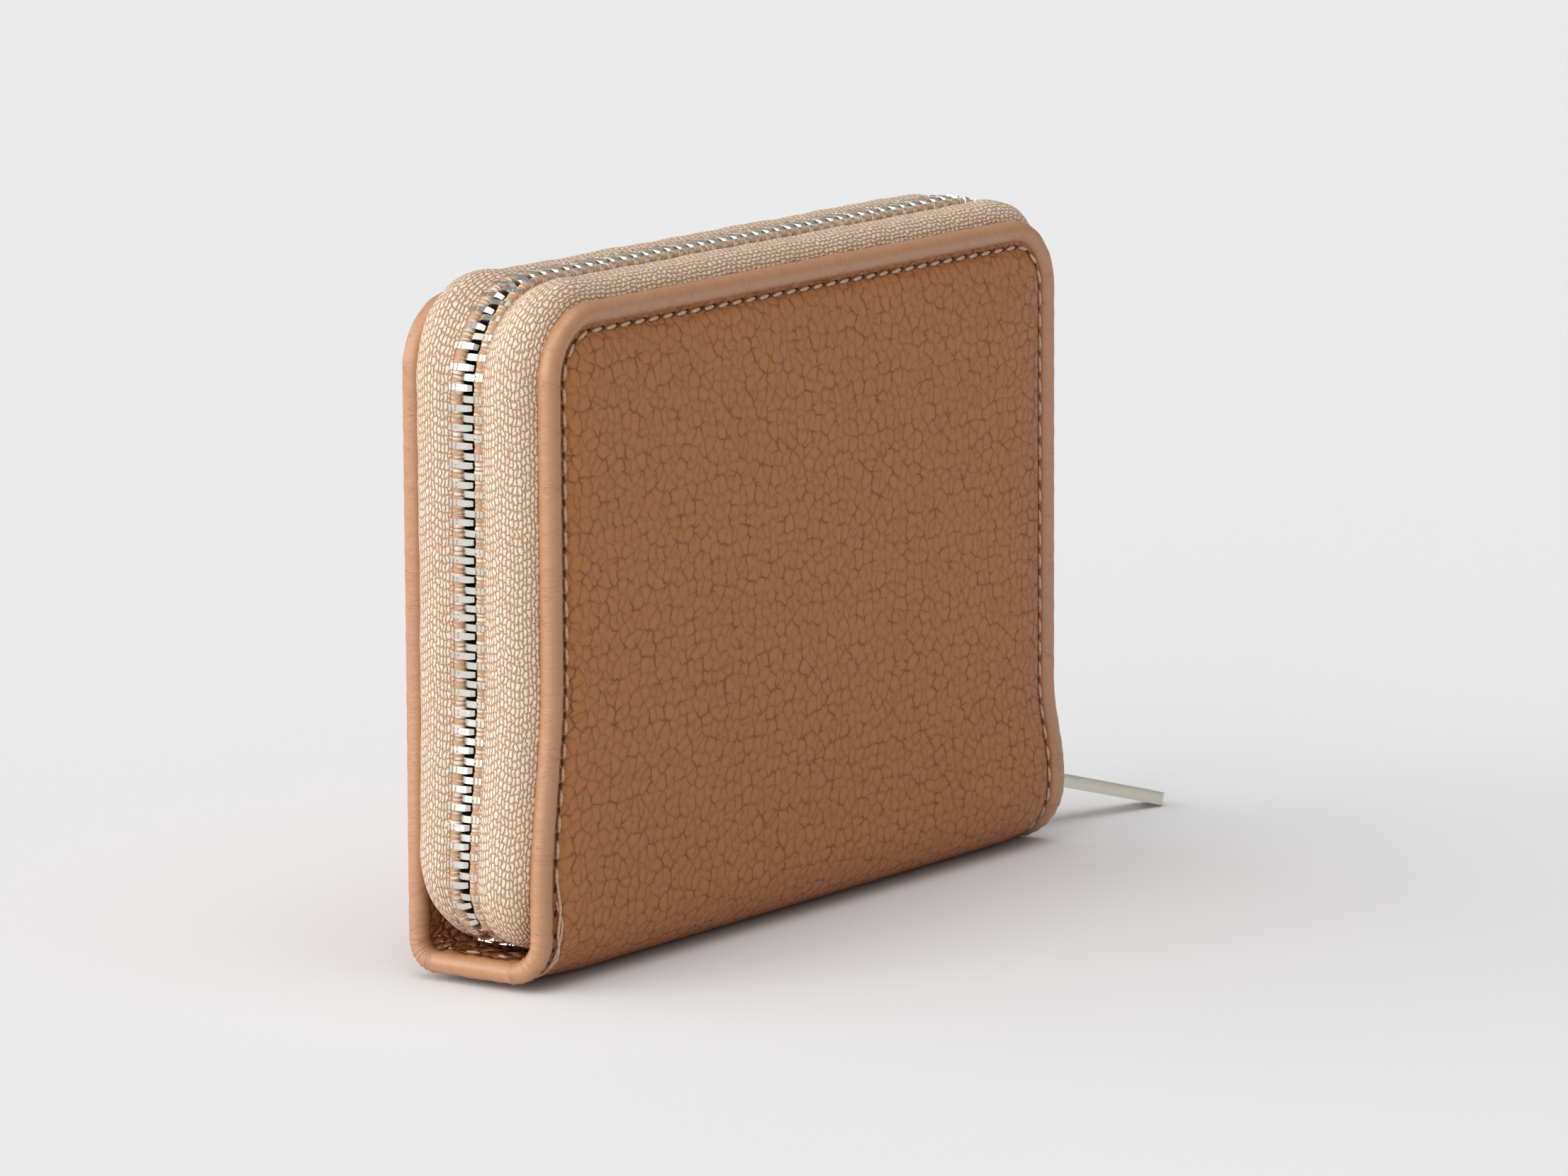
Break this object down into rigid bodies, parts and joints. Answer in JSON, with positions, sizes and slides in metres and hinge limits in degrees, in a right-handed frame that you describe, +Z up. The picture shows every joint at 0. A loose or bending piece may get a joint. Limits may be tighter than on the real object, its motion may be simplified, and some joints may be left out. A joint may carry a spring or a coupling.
{
  "type": "zip around wallet",
  "caption": "small leather wallet on its spine, metal zip round three sides, card pockets in both covers and a zipped coin pocket between them",
  "frame": {"origin": "middle of the spine's flat underside, on which the wallet stands", "axes": "+X along the spine, -Y out of the front cover, +Z up from the spine to the top of the covers"},
  "size_m": [0.154, 0.0252, 0.0921],
  "materials": {
    "leather": "pebbled, satin",
    "binding_leather": "smooth, satin",
    "lining": "fine grain, matt",
    "board": "matt",
    "filler": "felt",
    "zip_tape": "herringbone weave",
    "thread": "waxed",
    "zip_metal": "bright nickel plate",
    "slider_metal": "bright nickel plate",
    "pull_metal": "satin champagne nickel"
  },
  "bodies": {
    "spine": {"bottom_stop": "zip_metal", "coin_pocket_floor": "lining", "coin_pocket_front_wall": "lining", "coin_pocket_left_end": "lining", "coin_pocket_rear_wall": "lining", "coin_pocket_right_end": "lining", "coin_pocket_web": "lining", "coin_zip_front_tape": "zip_tape", "coin_zip_front_teeth": "zip_metal", "coin_zip_rear_tape": "zip_tape", "coin_zip_rear_teeth": "zip_metal", "coin_zip_stops": "zip_metal", "front_left_gusset": "lining", "front_right_gusset": "lining", "front_teeth_tail": "zip_metal", "front_zip_tape_end": "zip_tape", "front_zip_tape_tail": "zip_tape", "mouth_teeth": "zip_metal", "rear_left_gusset": "lining", "rear_right_gusset": "lining", "rear_teeth_tail": "zip_metal", "rear_zip_tape_end": "zip_tape", "rear_zip_tape_tail": "zip_tape", "spine_filler": "filler", "spine_leather": "leather", "spine_left_binding": "binding_leather", "spine_lining": "lining", "spine_right_binding": "binding_leather", "top_stops": "zip_metal"},
    "front_cover": {"front_cover_leather": "leather", "front_cover_board": "board", "front_cover_lining": "lining", "front_binding": "binding_leather", "front_stitches": "thread", "front_card_pocket_1": "lining", "front_card_pocket_2": "lining", "front_card_pocket_3": "lining", "front_zip_tape": "zip_tape", "front_zip_tape_right": "zip_tape", "front_teeth": "zip_metal", "front_teeth_right": "zip_metal"},
    "rear_cover": {"rear_cover_leather": "leather", "rear_cover_board": "board", "rear_cover_lining": "lining", "rear_binding": "binding_leather", "rear_stitches": "thread", "rear_card_pocket_1": "lining", "rear_card_pocket_2": "lining", "rear_card_pocket_3": "lining", "rear_zip_tape": "zip_tape", "rear_zip_tape_right": "zip_tape", "rear_teeth": "zip_metal", "rear_teeth_right": "zip_metal"},
    "zip_slider": {"slider_body": "slider_metal", "slider_bridge": "slider_metal"},
    "zip_pull": {"pull": "pull_metal"},
    "coin_slider": {"coin_slider_body": "slider_metal", "coin_slider_bridge": "slider_metal"},
    "coin_pull": {"coin_pull": "pull_metal"}
  },
  "joints": [
    {"name": "front_cover_fold", "type": "hinge", "parent": "spine", "child": "front_cover", "pos_m": [0, -0.0125, 0.01], "axis": [1, 0, 0], "range_deg": [0, 40], "deforming": ["front_left_gusset", "front_right_gusset", "front_teeth"]},
    {"name": "rear_cover_fold", "type": "hinge", "parent": "spine", "child": "rear_cover", "pos_m": [0, 0.0125, 0.01], "axis": [-1, 0, 0], "range_deg": [0, 40], "deforming": ["rear_left_gusset", "rear_right_gusset", "rear_teeth"]},
    {"name": "zip_slide", "type": "slide", "parent": "spine", "child": "zip_slider", "axis": [0, 0, 1], "range_m": [0, 0.06], "deforming": ["front_zip_tape_right", "rear_zip_tape_right", "front_teeth_right", "rear_teeth_right"]},
    {"name": "pull_swing", "type": "hinge", "parent": "zip_slider", "child": "zip_pull", "pos_m": [0.06355, 0, 0.0093], "axis": [0, 1, 0], "range_deg": [-90, 60]},
    {"name": "coin_zip_slide", "type": "slide", "parent": "spine", "child": "coin_slider", "axis": [-1, 0, 0], "range_m": [0, 0.076], "deforming": ["coin_zip_front_tape", "coin_zip_rear_tape", "coin_zip_front_teeth", "coin_zip_rear_teeth"]},
    {"name": "coin_pull_swing", "type": "hinge", "parent": "coin_slider", "child": "coin_pull", "pos_m": [0.038, 0, 0.0726], "axis": [0, 1, 0], "range_deg": [-150, 0]}
  ]
}
